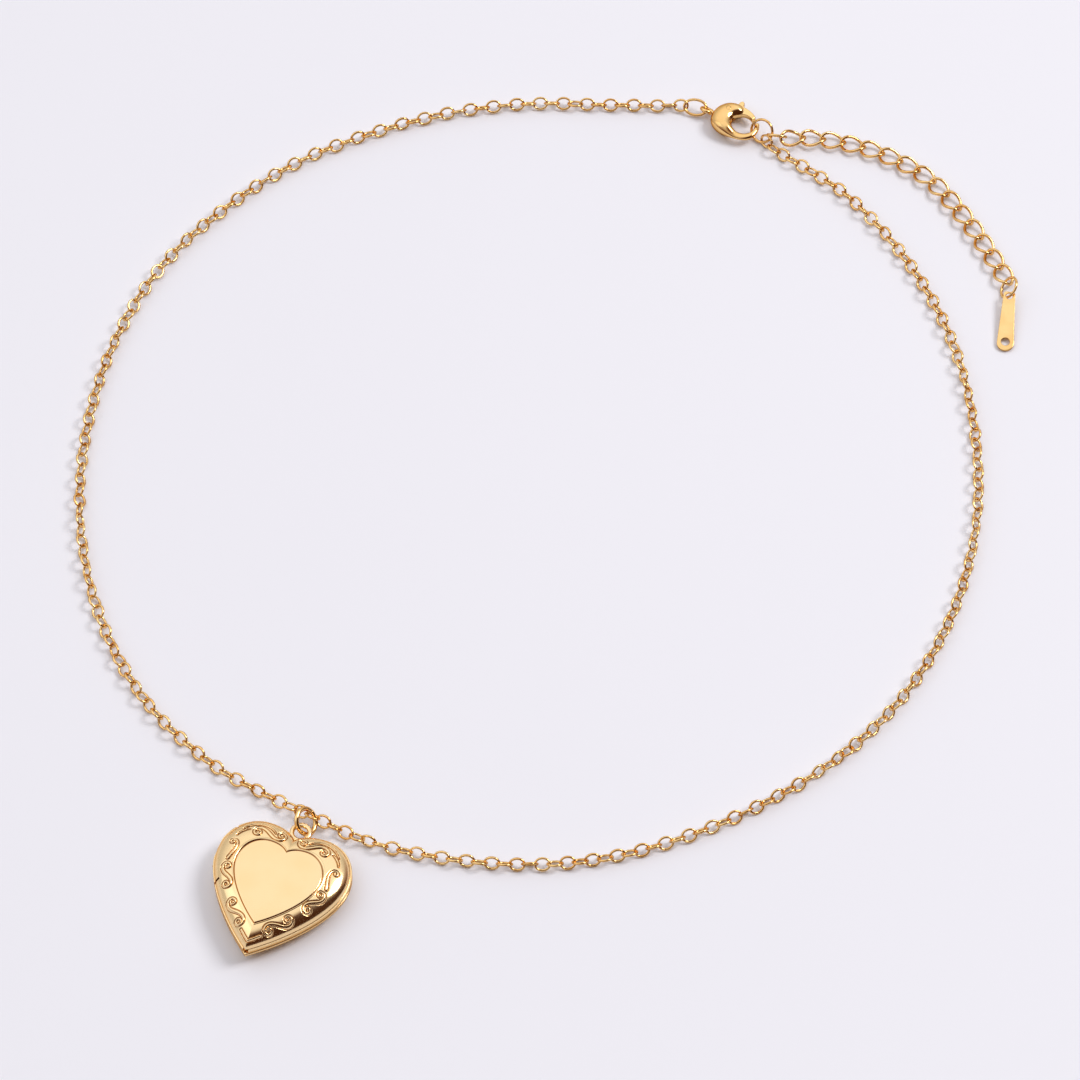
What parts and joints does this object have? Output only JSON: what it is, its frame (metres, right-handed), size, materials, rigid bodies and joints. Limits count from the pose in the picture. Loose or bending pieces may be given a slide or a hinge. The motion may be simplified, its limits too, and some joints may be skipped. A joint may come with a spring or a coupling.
{
  "type": "heart locket necklace",
  "caption": "Hinged heart locket with scroll border on a fine cable chain, with lobster clasp, extender chain and drop tag.",
  "frame": {"origin": "centre of the locket's flat back face, which rests on a surface", "axes": "+Z out of the locket's front, +Y along the heart's axis towards the hanging loop, +X to the heart's right when seen from the front; the hinge is on the -X side"},
  "size_m": [0.131, 0.1622, 0.0049],
  "materials": {
    "satin_gold": "satin gold plate over brass sheet",
    "polished_gold": "polished gold plate over brass",
    "spring_steel": "drawn spring wire",
    "card": "plain matt card",
    "window": "clear acetate film"
  },
  "bodies": {
    "neck_chain": {"neck_chain_left": "polished_gold", "neck_chain_right": "polished_gold", "neck_link_pendant": "polished_gold", "neck_link_clasp_end": "polished_gold", "neck_link_ring_end": "polished_gold", "clasp_end_ring": "polished_gold", "catch_ring": "polished_gold", "connector_ring": "polished_gold"},
    "pendant_ring": {"pendant_ring": "polished_gold"},
    "back_leaf": {"back_cover": "satin_gold", "hanging_loop": "satin_gold", "hinge_pin": "polished_gold", "photo_card_back": "card", "photo_window_back": "window", "photo_frame_back": "satin_gold"},
    "front_leaf": {"front_cover": "satin_gold", "photo_card_front": "card", "photo_window_front": "window", "photo_frame_front": "satin_gold"},
    "clasp": {"clasp_body": "polished_gold", "clasp_rivet": "polished_gold", "clasp_spring": "spring_steel"},
    "clasp_lever": {"clasp_lever": "polished_gold"},
    "extender_near": {"extender_link_01": "polished_gold", "extender_link_02": "polished_gold", "extender_link_03": "polished_gold", "extender_link_04": "polished_gold", "extender_link_05": "polished_gold", "extender_link_06": "polished_gold", "extender_link_07": "polished_gold", "extender_link_08": "polished_gold"},
    "extender_far": {"extender_link_09": "polished_gold", "extender_link_10": "polished_gold", "extender_link_11": "polished_gold", "extender_link_12": "polished_gold", "extender_link_13": "polished_gold", "extender_link_14": "polished_gold", "extender_link_15": "polished_gold"},
    "tag_ring": {"tag_ring": "polished_gold"},
    "drop_tag": {"drop_tag": "polished_gold"}
  },
  "joints": [
    {"name": "pendant_ring_swing", "type": "hinge", "parent": "neck_chain", "child": "pendant_ring", "pos_m": [0.00035, 0.01385, 0.00132], "axis": [-1, 0, 0], "range_deg": [0, 40]},
    {"name": "locket_swing", "type": "hinge", "parent": "pendant_ring", "child": "back_leaf", "pos_m": [0, 0.0106, 0.00195], "axis": [-1, 0, 0], "range_deg": [0, 15]},
    {"name": "locket_opening", "type": "hinge", "parent": "back_leaf", "child": "front_leaf", "pos_m": [-0.00885, 0, 0.0022], "axis": [0, -1, 0], "range_deg": [0, 130]},
    {"name": "clasp_swivel", "type": "hinge", "parent": "neck_chain", "child": "clasp", "pos_m": [0.01049, 0.14877, 0.00115], "axis": [0, 0, 1], "range_deg": [-2, 2]},
    {"name": "clasp_lever_press", "type": "hinge", "parent": "clasp", "child": "clasp_lever", "pos_m": [0.01369, 0.14938, 0.00135], "axis": [0, 0, -1], "range_deg": [0, 22], "stiffness_Nm_per_rad": 0.002, "springref_deg": -17.19},
    {"name": "extender_swing", "type": "hinge", "parent": "neck_chain", "child": "extender_near", "pos_m": [0.02298, 0.14752, 0.0014], "axis": [0, 0, 1], "range_deg": [-2, 20]},
    {"name": "extender_bend", "type": "hinge", "parent": "extender_near", "child": "extender_far", "pos_m": [0.04631, 0.14802, 0.0008], "axis": [0, 0, 1], "range_deg": [-2, 20]},
    {"name": "tag_ring_swing", "type": "hinge", "parent": "extender_far", "child": "tag_ring", "pos_m": [0.06248, 0.13432, 0.0008], "axis": [0, 0, 1], "range_deg": [-5, 12]},
    {"name": "drop_tag_swing", "type": "hinge", "parent": "tag_ring", "child": "drop_tag", "pos_m": [0.06349, 0.13158, 0.0014], "axis": [0, 0, 1], "range_deg": [-5, 12]}
  ]
}
